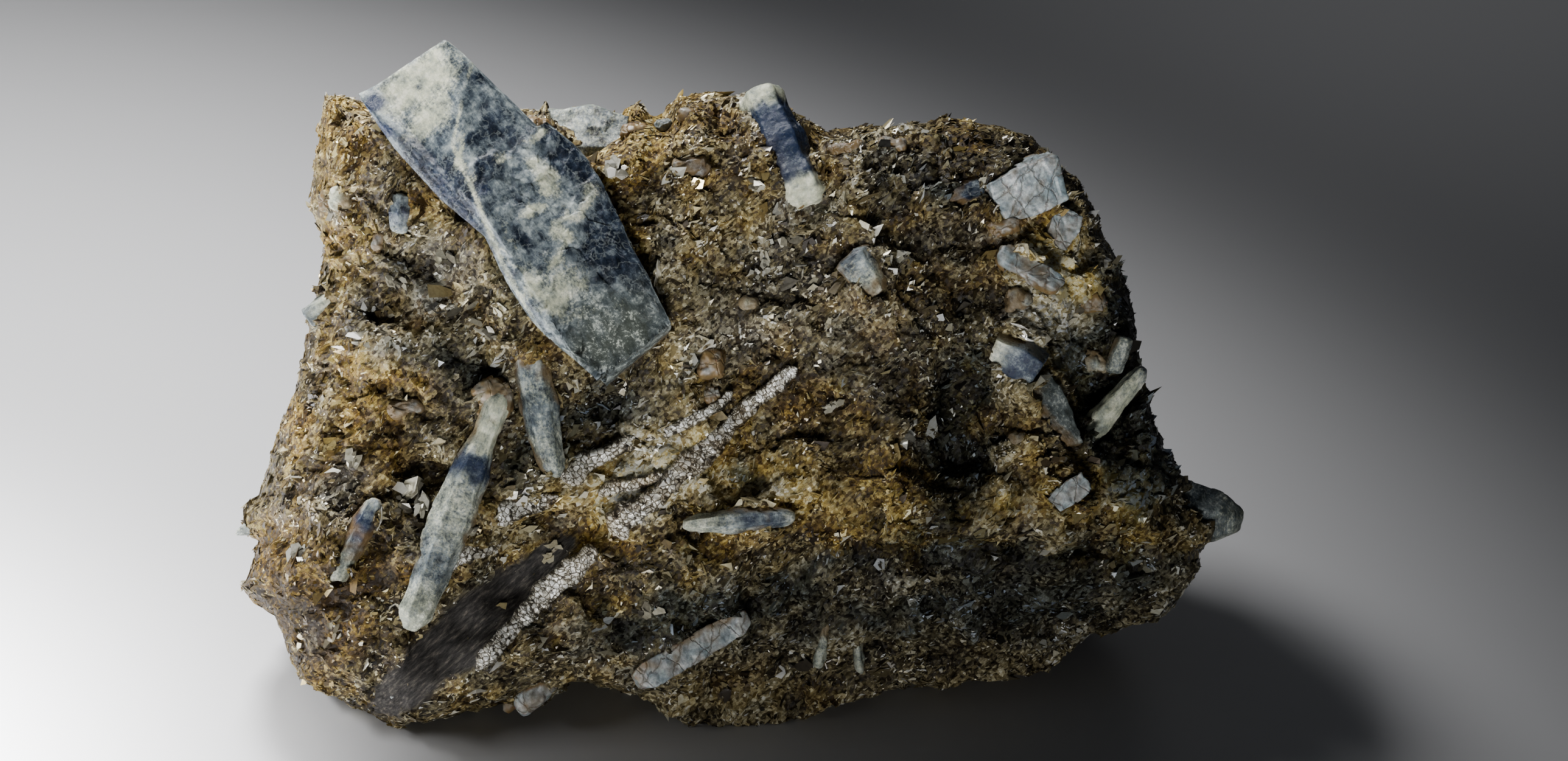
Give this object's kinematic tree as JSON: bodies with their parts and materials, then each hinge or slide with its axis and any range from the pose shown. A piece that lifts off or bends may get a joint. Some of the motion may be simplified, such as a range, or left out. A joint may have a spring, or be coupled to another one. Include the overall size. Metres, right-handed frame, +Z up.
{
  "type": "sapphire crystal specimen",
  "caption": "Loose hand specimen of blocky, milky blue-grey sapphire crystals standing out of a crumbly chunk of brown mica schist.",
  "frame": {"origin": "middle of the bounding box, on the plane the specimen rests on", "axes": "+X to the right along the longest side, +Z up, and the broad face with the large crystal looks towards -Y and up"},
  "size_m": [0.063, 0.037, 0.0422],
  "materials": {
    "mica_schist": "crumbly glittering mica rock, brown and gold with rust stains",
    "large_sapphire": "milky blue-grey corundum with navy patches and cream veins, greasy glassy lustre",
    "grey_sapphire": "cloudy grey-blue corundum",
    "blue_sapphire": "deep blue corundum, partly clear",
    "feldspar": "pale cleaved feldspar with fine cracks",
    "mica_book": "silvery mica sheets seen edge on, pearly"
  },
  "bodies": {
    "root": {"schist_matrix": "mica_schist", "large_sapphire": "large_sapphire", "speckled_sapphire_top": "grey_sapphire", "blue_sapphire_top": "blue_sapphire", "rod_under_large_sapphire": "grey_sapphire", "long_rod_lower_left": "grey_sapphire", "short_rod_left": "blue_sapphire", "grain_upper_left": "grey_sapphire", "grain_left_edge": "grey_sapphire", "tooth_left_edge": "grey_sapphire", "rod_lower_middle": "grey_sapphire", "rod_right": "grey_sapphire", "grain_right_edge": "grey_sapphire", "wedge_in_right_pocket": "grey_sapphire", "blue_grain_right": "blue_sapphire", "dark_grain_upper_right": "blue_sapphire", "sapphire_point_right": "blue_sapphire", "grain_middle": "grey_sapphire", "dark_grain_top": "blue_sapphire", "feldspar_block_large": "feldspar", "feldspar_block_small": "feldspar", "lath_upper_right": "feldspar", "pale_grain_lower_right": "feldspar", "clear_tooth_foot": "feldspar", "lath_under_ledge": "feldspar", "rear_sapphire": "grey_sapphire", "mica_book_upper": "mica_book", "mica_book_middle": "mica_book", "mica_book_lower": "mica_book"}
  },
  "joints": []
}
